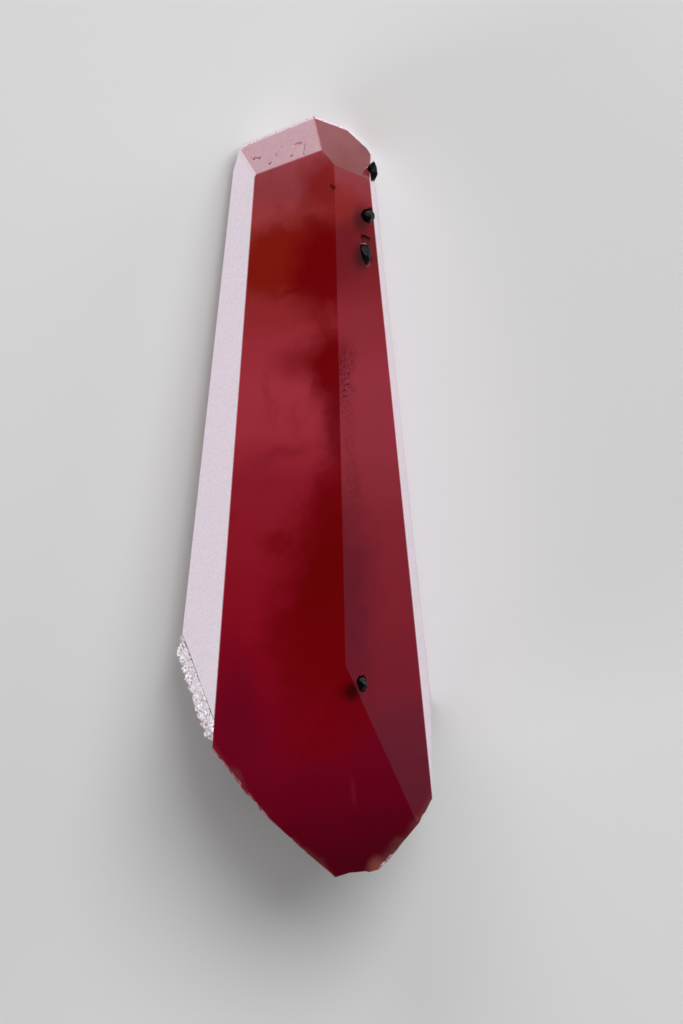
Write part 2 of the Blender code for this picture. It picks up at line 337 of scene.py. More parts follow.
    def bump(self, height, distance, strength=1.0, normal=None):
        item = self.add("Bump")
        self.join(height, item.inputs["Height"])
        item.inputs["Distance"].default_value = distance
        item.inputs["Strength"].default_value = strength
        if normal is not None:
            self.join(normal, item.inputs["Normal"])
        return item.outputs[0]


# Colours inside the crystal along its length, in millimetres of Y at the front edge, away from
# clouds
ALONG = (-24.5, 24.5)
LEFT_COLOURS = (
    (-23.5, rgb(78, 0, 18)),
    (-21.0, rgb(90, 0, 22)),
    (-19.0, rgb(103, 0, 26)),
    (-16.0, rgb(112, 2, 29)),
    (-13.5, rgb(119, 3, 31)),
    (-10.0, rgb(133, 6, 30)),
    (-6.0, rgb(138, 12, 32)),
    (-2.0, rgb(142, 22, 38)),
    (1.5, rgb(142, 26, 42)),
    (3.2, rgb(152, 37, 50)),
    (5.0, rgb(161, 45, 59)),
    (7.5, rgb(162, 49, 60)),
    (10.0, rgb(156, 45, 55)),
    (12.5, rgb(147, 41, 46)),
    (16.0, rgb(142, 41, 39)),
    (18.5, rgb(156, 58, 61)),
    (20.0, rgb(147, 58, 65)),
    (22.0, rgb(154, 68, 75)),
)
RIGHT_COLOURS = (
    (-23.5, rgb(72, 0, 20)),
    (-20.0, rgb(88, 2, 26)),
    (-17.6, rgb(86, 6, 30)),
    (-14.5, rgb(94, 9, 32)),
    (-11.0, rgb(110, 9, 29)),
    (-6.0, rgb(116, 16, 33)),
    (-1.0, rgb(120, 22, 36)),
    (1.7, rgb(127, 31, 44)),
    (4.2, rgb(135, 36, 50)),
    (8.0, rgb(137, 38, 52)),
    (12.0, rgb(130, 30, 42)),
    (14.0, rgb(119, 19, 31)),
    (15.5, rgb(106, 12, 22)),
    (17.5, rgb(106, 15, 21)),
    (18.8, rgb(124, 31, 35)),
    (20.2, rgb(138, 49, 57)),
    (22.0, rgb(134, 57, 63)),
)
EDGE_SHADE_RED = rgb(106, 0, 2)
BLOOD = rgb(112, 0, 6)
RUST = rgb(128, 22, 10)
BROWN_RED = rgb(130, 25, 22)
CRIMSON = rgb(118, 0, 14)
PLUM = rgb(92, 2, 26)
DARK_ROSE = rgb(104, 5, 20)
SPECKLE = rgb(74, 6, 16)
EDGE_HIGHLIGHT = rgb(128, 30, 52)
SHADOW_COLOUR = rgb(14, 0, 2)
BLACK = rgb(0, 0, 0)
SHEEN_COLOUR = rgb(236, 225, 237)

# Width in millimetres of the painted highlight line along the cap's outer rim, and the share of it
# that is full
CAP_HIGHLIGHT = 0.36
CAP_HIGHLIGHT_FULL = 0.85

# Colour that the inside lets through, and how strongly it absorbs the rest
DEPTH_COLOUR = (0.94, 0.03, 0.06, 1)
ABSORPTION = 300

# Colours of the quartz, the dark crystals and the floor
QUARTZ_WHITE = rgb(250, 246, 251)
QUARTZ_ROSE = rgb(196, 160, 174)
DARK_BODY = rgb(2, 1, 2)
DARK_PATCH = rgb(9, 6, 8)
FLOOR_GREY = (0.62, 0.62, 0.62, 1)

# Front edge between the two front faces, seen from above as it lies: X at a Y, and its slope
EDGE_X, EDGE_Y, EDGE_SLOPE = 3.19, 20.08, 0.0481
# How far the colours along the crystal tilt across the left and the right front face
LEVEL_SLOPES = (0.09, -0.28)

# Clouds in the red body: colour, strength, middle across from the front edge (left is positive) and
# along Y, reach across and along, how far out its soft border starts, and its turn in degrees. One
# factor draws in where all borders start, and wisps fray them. The deep red cloud on the left and
# the plum cloud on the right along the front edge are painted shade beside that edge
CLOUD_SOFTNESS = 0.8
FRAY = 0.10
CLOUDS_AND_SHADE_LEFT = (
    (BROWN_RED, 0.85, (0.3, 20.3), (3.0, 2.8), 0.35, 20),
    (RUST, 0.95, (3.4, 15.9), (6.4, 3.1), 0.50, -12),
    (BLOOD, 0.97, (0.4, 15.3), (3.9, 4.5), 0.45, 25),
    (BLOOD, 0.60, (3.2, 13.9), (1.3, 0.30), 0.20, -10),
    (BLOOD, 0.98, (-0.2, 8.9), (3.4, 4.1), 0.45, 0),
    (BLOOD, 0.50, (2.6, 9.2), (3.0, 1.7), 0.15, -15),
    (DARK_ROSE, 0.85, (0.0, 5.0), (2.3, 4.0), 0.20, 0),
    (DARK_ROSE, 0.30, (4.6, 3.3), (4.2, 0.75), 0.10, -17),
    (BLOOD, 0.90, (0.0, -0.6), (3.5, 5.6), 0.35, 0),
    (EDGE_SHADE_RED, 1.00, (0.2, -6.4), (6.6, 9.6), 0.42, 0),
    (BLOOD, 0.55, (4.8, -2.2), (2.2, 1.4), 0.15, 0),
    (BLOOD, 0.85, (1.2, -9.6), (6.8, 5.8), 0.35, 0),
    (CRIMSON, 0.85, (2.0, -14.4), (5.4, 3.6), 0.25, 0),
    (PLUM, 0.45, (8.2, -12.5), (2.6, 6.0), 0.25, 0),
)
CLOUDS_AND_SHADE_RIGHT = (
    (BROWN_RED, 0.70, (0.0, 19.2), (1.5, 2.4), 0.30, 0),
    (DARK_ROSE, 0.90, (-0.2, 15.8), (1.9, 2.8), 0.30, 0),
    (DARK_ROSE, 0.75, (0.0, 8.9), (0.8, 3.2), 0.30, 0),
    (PLUM, 0.98, (0.0, -6.2), (2.1, 9.8), 0.22, 0),
)

# Speckled patches beside the front edge, and a faint painted highlight on the edge at the lower
# end, each as a middle, a reach, the start of its soft border and a strength
SPECKLED = (
    ((-0.55, 8.4), (0.75, 3.4), 0.35, 0.80),
    ((-0.45, 2.6), (0.45, 5.0), 0.35, 0.45),
)
EDGE_HIGHLIGHT_PLACE = ((0.22, -18.6), (0.26, 1.7), 0.0, 0.32)

# Broken lines of painted glints along the outlines of the left and right breaks: width in
# millimetres, and strength
GLINT_LINE_WIDTHS = (0.08, 0.15)
GLINT_LINE_STRENGTHS = (0.20, 0.45)
# Brownish rims beside the left and right breaks: width in millimetres, and strength
RIM_WIDTHS = (0.40, 1.05)
RIM_STRENGTHS = (0.45, 0.90)
RIM_COLOUR = rgb(100, 56, 54)
# Paler chip beside the tip: place, reach, strength and colour
CHIP_AT = (6.00, -23.80, 12.85)
CHIP_REACH = 0.90
CHIP_STRENGTH = 0.5
CHIP_COLOUR = rgb(150, 80, 68)


def outermost(bm):
    """The crystal's farthest corner towards each of its flat faces."""
    spots = [vertex.co for vertex in bm.verts]
    return {name: max(spots, key=normal.dot).copy() for name, normal in FACES.items()}


def rhodochrosite(corners):
    """Clouded red, partly painted shade, with pale frosting in a painted sheen whose highlight line
    along the rims is fitted to the crystal's outermost corners.
    """
    paint = Paint("rhodochrosite")
    place = paint.place()
    wide = paint.wander(place, 0.16, 1.6)
    cloudy = paint.wander(wide, 0.75, 1.1)
    right_face = paint.attribute("right")
    wisps = paint.scaled(cloudy, (0.8, 0.9, 0.8))
    wisps = paint.noise(wisps, 0.9, detail=6.0, roughness=0.55)
    fray = paint.spread(wisps, 0.25, 0.75, -FRAY, FRAY, smooth=False)

    def sheet(point, slope):
        """Places across from the front edge, positive on the left, and along it."""
        edge = paint.math("MULTIPLY_ADD", paint.axis(point, "Y"), -EDGE_SLOPE)
        edge.node.inputs[2].default_value = EDGE_X + EDGE_Y * EDGE_SLOPE
        across = paint.math("SUBTRACT", edge, paint.axis(point, "X"))
        level = paint.math("MULTIPLY_ADD", across, slope)
        paint.join(paint.axis(point, "Y"), level.node.inputs[2])
        flat = paint.add("CombineXYZ")
        paint.join(across, flat.inputs["X"])
        paint.join(level, flat.inputs["Y"])
        return flat.outputs[0], level

    sides = []
    ramps = (LEFT_COLOURS, RIGHT_COLOURS)
    for slope, colours, clouds_and_shade in zip(LEVEL_SLOPES, ramps, (CLOUDS_AND_SHADE_LEFT, CLOUDS_AND_SHADE_RIGHT)):
        _, level = sheet(wide, slope)
        wavy, _ = sheet(cloudy, slope)
        colour = paint.ramp(level, colours, *ALONG)
        for tint, strength, middle, reach, start, turn in clouds_and_shade:
            share = paint.cloud(wavy, middle, reach, start, strength, turn, fray)
            colour = paint.blend(share, colour, tint)
        sides.append((colour, wavy))
    (left, _), (right, right_sheet) = sides

    # Speckles beside the front edge on the right, and a faint painted highlight on the edge at the
    # lower end
    speckle = paint.spread(paint.noise(place, 5.5, detail=4.0, roughness=0.7), 0.46, 0.58)
    for patch in SPECKLED:
        band = paint.both(paint.cloud(right_sheet, *patch), speckle)
        right = paint.blend(band, right, SPECKLE)
    straight, _ = sheet(place, 0.0)
    left = paint.blend(paint.cloud(straight, *EDGE_HIGHLIGHT_PLACE), left, EDGE_HIGHLIGHT)
    colour = paint.blend(right_face, left, right)

    # Wisps drawn out along the length, and fine dots
    wisp = paint.noise(paint.scaled(cloudy, (0.50, 0.26, 0.50)), 1.0, detail=5.0)
    colour = paint.blend(paint.spread(wisp, 0.55, 0.74, 0.0, 0.26), colour, BLOOD)
    dots = paint.spread(paint.noise(place, 9.0, detail=2.0), 0.66, 0.74, 0.0, 0.30)
    colour = paint.blend(dots, colour, DARK_ROSE)

    # Dark crystals throw soft shadows into the body
    for point, _, reach in DARK_PLACES.values():
        middle = Vector(point) + Vector(SHADOW_SHIFT)
        near = paint.spread(paint.away_from(place, middle), reach, reach * 0.3)
        colour = paint.blend(paint.both(near, SHADOW_STRENGTH), colour, SHADOW_COLOUR)
    for point, reach in FLECKS:
        near = paint.spread(paint.away_from(place, point), reach, reach * 0.5)
        colour = paint.blend(paint.both(near, FLECK_STRENGTH), colour, SHADOW_COLOUR)

    # Brownish rims beside the broken end, and the chip beside its tip
    patchy = paint.spread(paint.noise(place, 0.9, detail=4.0), 0.36, 0.58, 0.62, 1.0)
    for (normal, point), width, strength in zip(BREAKS, RIM_WIDTHS, RIM_STRENGTHS):
        depth = paint.beyond(cloudy, normal, point)
        rim = paint.both(paint.spread(depth, -width, 0.0), patchy)
        colour = paint.blend(paint.both(rim, strength), colour, RIM_COLOUR)
    near = paint.spread(paint.away_from(place, CHIP_AT), CHIP_REACH, CHIP_REACH * 0.1)
    colour = paint.blend(paint.both(near, CHIP_STRENGTH), colour, CHIP_COLOUR)
    colour = paint.blend(paint.attribute("shaded"), colour, BLACK)

    # Pale frosting with fine grain, its colour a painted sheen, with a painted highlight line along
    # the cap's outer rim and painted glints in places along the breaks
    grain = paint.noise(place, 7.0, detail=5.0, roughness=0.65)
    frost_sheen = paint.attribute("frost_sheen")
    on_cap = paint.attribute("cap")
    ragged = paint.spread(grain, 0.3, 0.7, 0.55, 1.0)
    for name in sorted(HIDDEN_NAMES):
        depth = paint.beyond(place, FACES[name], corners[name])
        near = paint.spread(depth, -CAP_HIGHLIGHT, -CAP_HIGHLIGHT * CAP_HIGHLIGHT_FULL)
        frost_sheen = paint.math("MAXIMUM", frost_sheen, paint.both(paint.both(near, on_cap), ragged))
    on_front = paint.attribute("front")
    glint_patches = paint.spread(paint.noise(place, 2.6, detail=6.0, roughness=0.6), 0.38, 0.66)
    for (normal, point), width, strength in zip(BREAKS, GLINT_LINE_WIDTHS, GLINT_LINE_STRENGTHS):
        depth = paint.beyond(place, normal, point)
        near = paint.spread(depth, -width, -width * 0.5, 0.0, strength)
        frost_sheen = paint.math("MAXIMUM", frost_sheen, paint.both(paint.both(near, on_front), glint_patches))
    specks = paint.spread(grain, 0.36, 0.60, 0.80, 1.0)
    colour = paint.blend(paint.both(frost_sheen, specks), colour, SHEEN_COLOUR)

    clear = paint.spread(frost_sheen, 0.0, 0.3, 0.18, 0.0, smooth=False)
    rough = paint.spread(frost_sheen, 0.0, 0.5, 0.16, 0.40, smooth=False)
    fine = paint.bump(paint.both(grain, frost_sheen), 0.012 * MM, 0.6)
    swell = paint.noise(paint.scaled(place, (1.0, 0.35, 1.0)), 0.9, detail=2.0)
    paint.set(
        Base_Color=colour,
        Roughness=rough,
        Transmission_Weight=clear,
        IOR=1.6,
        Specular_IOR_Level=0.10,
        Specular_Tint=(1.0, 0.42, 0.46, 1.0),
        Subsurface_Weight=0.15,
        Subsurface_Radius=(2.0, 0.3, 0.4),
        Subsurface_Scale=1.0 * MM,
        Normal=paint.bump(swell, 0.03 * MM, 0.5, fine),
    )
    volume = paint.add("VolumeAbsorption")
    volume.inputs["Color"].default_value = DEPTH_COLOUR
    volume.inputs["Density"].default_value = ABSORPTION
    paint.join(volume.outputs[0], paint.output.inputs["Volume"])
    return paint.material


def quartz():
    """White, glassy grains with a breath of rose."""
    paint = Paint("quartz")
    place = paint.place()
    tint = paint.noise(place, 4.5, detail=4.0)
    colour = paint.blend(paint.spread(tint, 0.50, 0.66), QUARTZ_WHITE, QUARTZ_ROSE)
    paint.set(
        Base_Color=colour,
        Roughness=0.08,
        Transmission_Weight=0.12,
        IOR=1.54,
        Normal=paint.bump(paint.noise(place, 9.0), 0.01 * MM, 0.5),
    )
    return paint.material


def dark_metal():
    """Black with a dull metal gleam."""
    paint = Paint("dark_crystal")
    place = paint.place()
    patches = paint.noise(place, 5.0, detail=4.0)
    colour = paint.blend(paint.spread(patches, 0.55, 0.75), DARK_BODY, DARK_PATCH)
    rough = paint.spread(patches, 0.3, 0.7, 0.12, 0.36)
    paint.set(
        Base_Color=colour,
        Roughness=rough,
        IOR=1.5,
        Specular_IOR_Level=0.13,
        Normal=paint.bump(paint.cells(place, 7.0), 0.02 * MM, 0.4),
    )
    return paint.material


def pale_floor():
    """Even pale grey."""
    paint = Paint("pale_floor")
    paint.set(Base_Color=FLOOR_GREY, Roughness=0.6, Specular_IOR_Level=0.2)
    return paint.material


def merged(node):
    """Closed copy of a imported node's mesh, its flat faces whole."""
    bm = bmesh.new()
    bm.from_mesh(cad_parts[node].data)
    bmesh.ops.remove_doubles(bm, verts=bm.verts[:], dist=MERGE)
    bmesh.ops.dissolve_limit(bm, angle_limit=FLAT_ANGLE, verts=bm.verts[:], edges=bm.edges[:])
    return bm


def keep_inside(bm, normal, point):
    """Cuts off what lies outside a plane and closes the cut."""
    parts = bm.verts[:] + bm.edges[:] + bm.faces[:]
    cut = bmesh.ops.bisect_plane(
        bm, geom=parts, dist=CUT_MERGE, plane_co=point, plane_no=normal, clear_outer=True
    )
    rim = [e for e in cut["geom_cut"] if isinstance(e, bmesh.types.BMEdge)]
    return bmesh.ops.edgeloop_fill(bm, edges=rim)["faces"] if rim else []


def named(face):
    """Name of the flat face that a mesh face belongs to, if any."""
    name = max(FACES, key=lambda item: FACES[item].dot(face.normal))
    return name if FACES[name].dot(face.normal) > COS_SAME else None


def has(face, frost_sheen, strength):
    """Whether a face carries that strength of frosting and sheen, as single precision keeps it."""
    return abs(face[frost_sheen] - strength) < SAME_FROST_SHEEN


def on_break(face):
    """Whether a face lies at the broken end."""
    middle = face.calc_center_median()
    return any((middle - point).dot(normal) > -BREAK_DEPTH for normal, point in BREAKS)


def in_pit(face):
    """Whether a face lies in the pit of a dark crystal."""
    middle = face.calc_center_median() / MM
    return any((middle - Vector(at)).length < reach for at, reach, _ in DARK_PLACES.values())


def frost_sheen_on(face):
    """Strength of the pale frosting and painted sheen on a face of the unworn crystal."""
    name = named(face)
    if name:
        return FROST_SHEEN[name]
    if on_break(face):
        return FROST_SHEEN_ON_BREAK
    if in_pit(face):
        return FROST_SHEEN_IN_PIT
    if face.normal.dot(FACES["cap_right"]) > COS_RIM:
        return FROST_SHEEN_ON_RIM
    return 0.0


def worn_frost_sheen(one, other):
    """Frosting and sheen on a worn facet between two faces with these strengths, standing as a
    painted highlight.
    """
    stronger, weaker = WORN_SHARES
    return min(1.0, stronger * max(one, other) + weaker * min(one, other))


def wear_edges(bm, frost_sheen):
    """Planes off the long edges between faces with frosting and sheen, as handling and etching do,
    and gives the worn facets painted highlights.
    """
    cuts = []
    for edge in bm.edges:
        turn = edge.calc_face_angle_signed()
        one, other = edge.link_faces
        on_rim = has(one, frost_sheen, FROST_SHEEN_ON_RIM) + has(other, frost_sheen, FROST_SHEEN_ON_RIM)
        shortest = RIM_SHORTEST if on_rim else WEAR_SHORTEST
        if edge.calc_length() < shortest or math.degrees(turn) < WEAR_ANGLE:
            continue
        names = {named(one), named(other)}
        cap_rim = bool(names & CAP_NAMES and names & HIDDEN_NAMES)
        if one[frost_sheen] + other[frost_sheen] < WEAR_LEAST and not cap_rim:
            continue
        normal = (one.normal + other.normal).normalized()
        middle = (edge.verts[0].co + edge.verts[1].co) / 2
        if max((v.co - middle).dot(normal) for v in bm.verts) > WEAR_SLACK:
            continue
        width = WEAR_WIDTH + WEAR_BY_FROST_SHEEN * min(one[frost_sheen], other[frost_sheen])
        strength = worn_frost_sheen(one[frost_sheen], other[frost_sheen])
        if on_rim:
            width = WEAR_ON_RIM if names & CAP_NAMES else RIM_ROUND
        if cap_rim:
            width = CAP_RIM
        if on_rim or cap_rim:
            strength = 1.0
        cuts.append((normal, middle - normal * width / 2 * math.tan(turn / 2), strength))
    for face in [f for f in bm.faces if has(f, frost_sheen, FROST_SHEEN_ON_RIM)]:
        middle = face.calc_center_median()
        if max((v.co - middle).dot(face.normal) for v in bm.verts) < WEAR_SLACK:
            cuts.insert(0, (face.normal.copy(), middle - face.normal * RIM_DEEPER, 1.0))
    for normal, point, strength in cuts:
        for face in keep_inside(bm, normal, point):
            face[frost_sheen] = strength
    bm.normal_update()


def finish_piece(name, bm, material, slot, *nodes):
    """Object made from a bmesh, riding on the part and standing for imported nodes."""
    mesh = bpy.data.meshes.new(name)
    bm.to_mesh(mesh)
    bm.free()
    mesh.materials.append(material)
    piece = bpy.data.objects.new(name, mesh)
    bpy.context.scene.collection.objects.link(piece)
    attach(piece, "root")
    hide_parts(*nodes)
    return piece


def face_axes(normal):
    """Rotation whose X runs across an upright face, Y up it and Z out of it."""
    out = normal.normalized()
    across = Vector((0, 0, 1)).cross(out).normalized()
    return Matrix((across, out.cross(across), out)).transposed()


# Etching on the left cap face, in millimetres across and up from the apex: sunken terraces as a
# corner, their run along two cleavage traces, a depth and whether their side wall stands at the
# start of the run or at its end, pits as a place, a radius and a depth, and grain as a scale and a
# height. A wall is missing near its corner and fades at its far end, and ragged noise has a scale,
# height and layer
CAP_STEP = 0.06 * MM
CAP_TRACES = (22.0, -52.0)
TERRACES = (
    ((-0.01, -2.70), (1.27, 2.1), 0.11, "end"),
    ((-1.16, -3.08), (0.85, 1.3), 0.07, "start"),
    ((-2.9, -3.3), (0.5, 0.5), 0.04, "start"),
)
CAP_PITS = (
    ((-2.48, -4.20), 0.30, 0.11),
    ((-2.12, -4.05), 0.12, 0.06),
    ((-0.62, -4.46), 0.16, 0.07),
    ((0.95, -3.60), 0.12, 0.07),
    ((-1.35, -4.72), 0.09, 0.05),
)
CORNER_GAP = 0.42
WALL_REACH = 0.3
WALL_FADE = 0.6
CAP_GRAIN = ((9.0, 0.014), (3.0, 0.012))
CAP_RAGGED = ((5, 0.05, 0), (14, 0.04, 2))
PIT_RAGGED = 4
PIT_MIDDLE = 0.8
# Less pale frosting and sheen in the middle of a pit, and at most this much on steep walls, beyond
# the angle given last, so that the steps show as lines of painted shade
PIT_FROST_SHEEN = 0.12
WALL_FROST_SHEEN = 0.22
COS_STEEP = math.cos(math.radians(32))


def etch_cap(bm, frost_sheen):
    """Slices the left cap face finely and etches it with terraces and grain."""
    cap = face_axes(upright(-60, CAP_RISE))
    sheet = LAID @ cap.to_4x4()
    face = max((f for f in bm.faces if named(f) == "cap_left"), key=lambda f: f.calc_area())
    flat = sheet.inverted()
    spots = [flat @ v.co for v in face.verts]
    parts = [face, *face.edges, *face.verts]
    for axis in (0, 1):
        low, high = min(p[axis] for p in spots), max(p[axis] for p in spots)
        for i in range(1, int((high - low) / CAP_STEP) + 1):
            at = Vector((0, 0, 0))
            at[axis] = low + i * CAP_STEP
            out = Vector((0, 0, 0))
            out[axis] = 1
            parts = bmesh.ops.bisect_plane(
                bm, geom=parts, dist=CUT_MERGE, plane_co=sheet @ at, plane_no=sheet.to_3x3() @ out
            )["geom"]
    inside = {f for f in parts if isinstance(f, bmesh.types.BMFace)}
    first, second = (Vector((math.cos(t), math.sin(t))) for t in map(math.radians, CAP_TRACES))
    skew = first.x * second.y - first.y * second.x
    outward = FACES["cap_left"]
    for vertex in {v for f in inside for v in f.verts}:
        if not all(f in inside for f in vertex.link_faces):
            continue
        spot = ((flat @ vertex.co) / MM).to_2d()
        ragged = 0.0
        for scale, height, layer in CAP_RAGGED:
            ragged += height * noise.noise(Vector((*spot, layer)) * scale)
        depth = 0.0
        for corner, (run, rise), sunk, wall in TERRACES:
            x, y = spot - Vector(corner)
            a = (x * second.y - y * second.x) / skew + ragged
            b = (first.x * y - first.y * x) / skew + ragged
            if 0 < a < run and 0 < b < rise:
                side = a if wall == "start" else run - a
                gap = min(1.0, math.hypot(side, b) / CORNER_GAP) ** 2
                top = math.exp(-b / WALL_REACH) * min(1.0, (run - side) / WALL_FADE)
                down = math.exp(-side / WALL_REACH) * min(1.0, (rise - b) / WALL_FADE)
                depth += sunk * gap * max(top, down)
        for place, radius, sunk in CAP_PITS:
            away = (spot - Vector(place)).length / radius + ragged * PIT_RAGGED
            depth += sunk * max(0.0, 1 - away * away)
            if away < PIT_MIDDLE:
                for face in vertex.link_faces:
                    face[frost_sheen] = PIT_FROST_SHEEN
        for scale, height in CAP_GRAIN:
            depth += height * (0.5 + noise.noise(Vector((*spot, 1)) * scale))
        vertex.co -= outward * depth * MM
    for face in inside:
        face.normal_update()
        if face.normal.dot(outward) < COS_STEEP:
            face[frost_sheen] = min(face[frost_sheen], WALL_FROST_SHEEN)


# Broken end: how finely its cleaved surface is cut up, then, in millimetres, the height of its
# small steps and of its grain, how many steps there are to a millimetre up and along the cleavage,
# and the scales of the noise that bends the steps and makes the grain
BREAK_CUTS = 3
BREAK_STEP = 0.05
BREAK_GRAIN = 0.02
STEP_RATES = (2.2, 1.7)
CLEAVAGE_ANGLE = 103.0
BEND_SCALE = 0.8
GRAIN_SCALE = 7
# Its ragged outline: how far it is frayed on the left and right, the Y over which that sets in,
# its least, its coarse and fine scales with the share of the fine one, its worn width, and how
# patchy the painted glints on that worn width are
BREAK_RAGGED = (0.16, 0.34)
FRAY_FROM = (-22.8, -21.8)
FRAY_LEAST = 0.1
FRAY_SCALES = (1.7, 6)
FRAY_FINE = 0.4
BREAK_WEAR = 0.09 * MM
PATCH_SCALE = 2.2


def roughen_break(bm, frost_sheen):
    """Cuts the cleaved faces up finely and gives them small steps, and frays their outline."""
    broken = [f for f in bm.faces if has(f, frost_sheen, FROST_SHEEN_ON_BREAK)]
    broken = bmesh.ops.triangulate(bm, faces=broken)["faces"]
    edges = dict.fromkeys(e for f in broken for e in f.edges)
    bmesh.ops.subdivide_edges(bm, edges=list(edges), cuts=BREAK_CUTS, use_grid_fill=True)
    bm.normal_update()
    rough = {f for f in bm.faces if has(f, frost_sheen, FROST_SHEEN_ON_BREAK)}
    trace = math.radians(CLEAVAGE_ANGLE)
    coarse, fine = FRAY_SCALES
    up, along = STEP_RATES
    for vertex in {v for f in rough for v in f.verts}:
        normal, _ = max(BREAKS, key=lambda item: (vertex.co - item[1]).dot(item[0]))
        on_right = normal != BREAK_LEFT[0]
        flat = (LAID.inverted() @ vertex.co) / MM
        others = [f for f in vertex.link_faces if f not in rough]
        if others:
            into = -normal + others[0].normal * normal.dot(others[0].normal)
            level = (vertex.co.y / MM - FRAY_FROM[0]) / (FRAY_FROM[1] - FRAY_FROM[0])
            alike = all(abs(f.normal.dot(others[0].normal)) > COS_SAME for f in others)
            if alike and named(others[0]) != "right_side":
                fray = FRAY_LEAST + noise.noise(flat * coarse)
                fray += FRAY_FINE * noise.noise(flat * fine)
                fray = max(0.0, fray) * min(1.0, max(0.0, level))
                vertex.co += into.normalized() * fray * BREAK_RAGGED[on_right] * MM
            continue
        sheet = face_axes(upright(120 if on_right else -120, -CAP_RISE))
        u, v, _ = sheet.inverted() @ flat
        w = u * math.cos(trace) + v * math.sin(trace)
        bend = noise.noise(flat * BEND_SCALE)
        steps = math.floor((v + bend) * up) % 3 + math.floor((w - bend) * along) % 2
        grain = noise.noise(flat * GRAIN_SCALE)
        vertex.co -= normal * (steps * BREAK_STEP / 2 + (grain + 0.5) * BREAK_GRAIN) * MM
        vertex.co.z = max(vertex.co.z, 0.0)
    outline = [e for e in bm.edges if sum(f in rough for f in e.link_faces) == 1]
    outline = [e for e in outline if "right_side" not in map(named, e.link_faces)]
    worn = bmesh.ops.bevel(
        bm,
        geom=outline,
        offset=BREAK_WEAR,
        affect="EDGES",
        segments=1,
        profile=0.5,
        material=-1,
        clamp_overlap=True,
    )
    # The worn outline takes patchy pale frosting that stands as painted glints
    low, high = GLINTS_ON_BREAK_EDGE
    for face in worn["faces"]:
        patch = noise.noise(face.calc_center_median() / MM * PATCH_SCALE) + 0.5
        face[frost_sheen] = low + (high - low) * min(1.0, max(0.0, patch))


def make_crystal():
    """The red crystal, worn, etched and roughened, but never past its outermost corners."""
    bm = merged("rhodochrosite_crystal")
    corners = outermost(bm)
    layers = bm.faces.layers.float
    frost_sheen, right = layers.new("frost_sheen"), layers.new("right")
    for face in bm.faces:
        face[frost_sheen] = frost_sheen_on(face)
    wear_edges(bm, frost_sheen)
    shaded, cap, front = layers.new("shaded"), layers.new("cap"), layers.new("front")
    for face in bm.faces:
        name = named(face)
        face[cap] = float(name in CAP_NAMES)
        face[front] = float(name in FRONT_NAMES)
        face[right] = float(name in RIGHT_NAMES)
        face[shaded] = SHADED.get(name, 0.0)
    etch_cap(bm, frost_sheen)
    roughen_break(bm, frost_sheen)
    for vertex in bm.verts:
        for name, normal in FACES.items():
            over = (vertex.co - corners[name]).dot(normal)
            if over > 0:
                vertex.co -= normal * over
    material = rhodochrosite(corners)
    return finish_piece("red_crystal", bm, material, "rhodochrosite", "rhodochrosite_crystal")


# Quartz grains: the way the crust faces and the least cosine to it of a face that carries grains,
# how many grains there are, their radius, how far each is sunk in radii, how much it leans
# outwards and about, and its own form, raised over its root and pointed, in radii
CRUST_FACING = facing(-92.0, -16.0)
CRUST_LEAST = 0.3
GRAIN_COUNT = 2600
GRAIN_RADIUS = (0.05 * MM, 0.12 * MM)
GRAIN_SUNK = 1.3
GRAIN_OUTWARD = 0.4
GRAIN_LEAN = 0.5
GRAIN_SEED = 5
GRAIN_RAISED = 0.2
GRAIN_POINT = 1.1


def grain_template():
    """One stubby, pointed, six-sided quartz grain of radius 1, its root just below the origin."""
    bm = bmesh.new()
    bmesh.ops.create_cone(bm, segments=6, radius1=1, radius2=1, depth=2, cap_ends=True)
    bmesh.ops.translate(bm, vec=(0, 0, GRAIN_RAISED), verts=bm.verts[:])
    top = max(bm.faces, key=lambda face: face.calc_center_median().z)
    poked = bmesh.ops.poke(bm, faces=[top])
    poked["verts"][0].co.z += GRAIN_POINT
    mesh = bpy.data.meshes.new("grain_template")
    bm.to_mesh(mesh)
    bm.free()
    return mesh


def make_crust(material):
    """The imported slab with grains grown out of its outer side."""
    base = merged("quartz_crust")
    bmesh.ops.triangulate(base, faces=base.faces[:])
    outer = [f for f in base.faces if f.normal.dot(CRUST_FACING) > CRUST_LEAST]
    weights = [f.calc_area() for f in outer]
    corners = [([v.co.copy() for v in f.verts], f.normal.copy()) for f in outer]
    rng = random.Random(GRAIN_SEED)
    grain = grain_template()
    bm = bmesh.new()
    for (a, b, c), normal in rng.choices(corners, weights, k=GRAIN_COUNT):
        u, v = rng.random(), rng.random()
        if u + v > 1:
            u, v = 1 - u, 1 - v
        size = rng.uniform(*GRAIN_RADIUS)
        foot = a + (b - a) * u + (c - a) * v - CRUST_FACING * size * GRAIN_SUNK
        lean = Vector((rng.uniform(-1, 1), rng.uniform(-1, 1), rng.uniform(-1, 1))) * GRAIN_LEAN
        axis = (normal + CRUST_FACING * GRAIN_OUTWARD + lean).normalized()
        turn = Matrix.Rotation(rng.uniform(0, math.tau), 4, "Z")
        stand = axis.to_track_quat("Z", "Y").to_matrix().to_4x4()
        start = len(bm.verts)
        bm.from_mesh(grain)
        grown = Matrix.Translation(foot) @ stand @ turn @ Matrix.Scale(size, 4)
        bmesh.ops.transform(bm, matrix=grown, verts=bm.verts[start:])
    slab = bpy.data.meshes.new("crust_base")
    base.to_mesh(slab)
    base.free()
    bm.from_mesh(slab)
    for mesh in (grain, slab):
        bpy.data.meshes.remove(mesh)
    return finish_piece("quartz_druse", bm, material, "quartz", "quartz_crust")


# Dark crystals: worn width, how finely they are cut up, and how their growth lines are drawn out
# along Y, their scale and their depth in millimetres
DARK_WEAR = 0.02 * MM
DARK_CUTS = 3
GROWTH_STRETCH = 0.3
GROWTH_SCALE = 9
GROWTH_DEPTH = 0.02


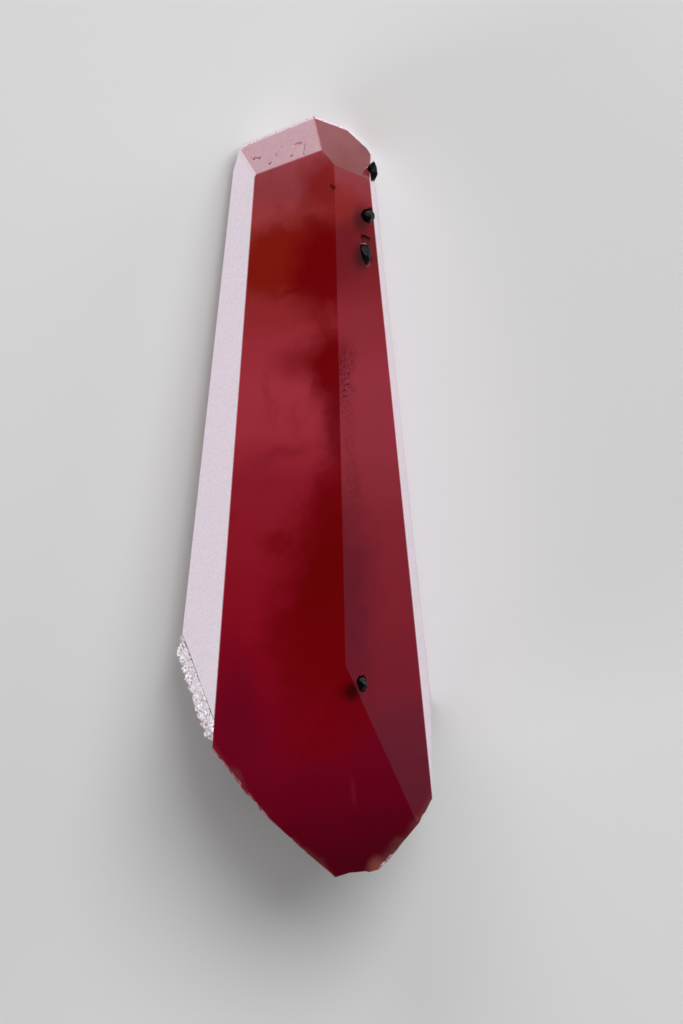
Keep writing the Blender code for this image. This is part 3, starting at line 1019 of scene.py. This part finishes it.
def make_dark_crystals(material):
    """Each dark crystal with worn edges and fine growth lines."""
    for node in DARK_PLACES:
        bm = merged(node)
        bmesh.ops.bevel(
            bm,
            geom=bm.edges[:],
            offset=DARK_WEAR,
            affect="EDGES",
            segments=1,
            profile=0.5,
            material=-1,
            clamp_overlap=True,
        )
        bmesh.ops.triangulate(bm, faces=bm.faces[:])
        bmesh.ops.subdivide_edges(bm, edges=bm.edges[:], cuts=DARK_CUTS, use_grid_fill=True)
        bm.normal_update()
        for vertex in bm.verts:
            drawn = Vector((vertex.co.x, vertex.co.y * GROWTH_STRETCH, vertex.co.z))
            lines = noise.noise(drawn / MM * GROWTH_SCALE)
            vertex.co -= vertex.normal * (0.5 + lines) * GROWTH_DEPTH * MM
        finish_piece(node + "_facets", bm, material, "dark_crystal", node)


def make_floor():
    """Wide pale floor under the specimen."""
    bm = bmesh.new()
    bmesh.ops.create_grid(bm, x_segments=1, y_segments=1, size=FLOOR_REACH)
    mesh = bpy.data.meshes.new("floor")
    bm.to_mesh(mesh)
    bm.free()
    mesh.materials.append(pale_floor())
    floor = bpy.data.objects.new("floor", mesh)
    bpy.context.scene.collection.objects.link(floor)


# Soft lights: direction from the specimen, distance, size and power
LIGHTS = {
    "left": ((-0.80, -0.50, 0.16), 0.55, 0.30, 2.0),
    "right": ((0.88, 0.40, 0.25), 0.55, 0.30, 0.84),
    "behind": ((-0.15, 0.85, 0.50), 0.60, 0.40, 1.15),
    "above": ((0.45, 0.50, 0.74), 0.70, 0.40, 4.2),
}
WORLD_LIGHT = 0.14


def make_lights():
    """Soft discs of light round the specimen, and an even pale room."""
    for name, (direction, distance, size, power) in LIGHTS.items():
        lamp = bpy.data.lights.new(name, "AREA")
        lamp.shape = "DISK"
        lamp.size = size
        lamp.energy = power
        item = bpy.data.objects.new(name, lamp)
        bpy.context.scene.collection.objects.link(item)
        way = Vector(direction).normalized()
        item.location = way * distance
        item.rotation_euler = way.to_track_quat("Z", "Y").to_euler()
    world = bpy.data.worlds.new("soft_room")
    world.use_nodes = True
    world.node_tree.nodes["Background"].inputs["Color"].default_value = (1, 1, 1, 1)
    world.node_tree.nodes["Background"].inputs["Strength"].default_value = WORLD_LIGHT
    bpy.context.scene.world = world


def make_camera():
    """Camera that looks at the specimen from where the photo does, and frames it the same."""
    back = TO_CAMERA.normalized()
    up = (PICTURE_UP - back * PICTURE_UP.dot(back)).normalized()
    right = up.cross(back)
    target = APEX_AT + right * FRAME_RIGHT - up * FRAME_DOWN + back * FRAME_NEAR
    lens = bpy.data.cameras.new("camera")
    lens.lens = LENS
    lens.sensor_width = FILM_SIZE
    lens.clip_start, lens.clip_end = CLIP
    item = bpy.data.objects.new("camera", lens)
    bpy.context.scene.collection.objects.link(item)
    distance = FRAME_HEIGHT * LENS / FILM_SIZE
    turn = Matrix((right, up, back)).transposed().to_4x4()
    item.matrix_world = Matrix.Translation(target + back * distance) @ turn
    bpy.context.scene.camera = item


make_floor()
make_lights()
make_camera()
make_crystal()
make_crust(quartz())
make_dark_crystals(dark_metal())

scene = bpy.context.scene
scene.view_settings.view_transform = "Standard"
scene.view_settings.look = "None"
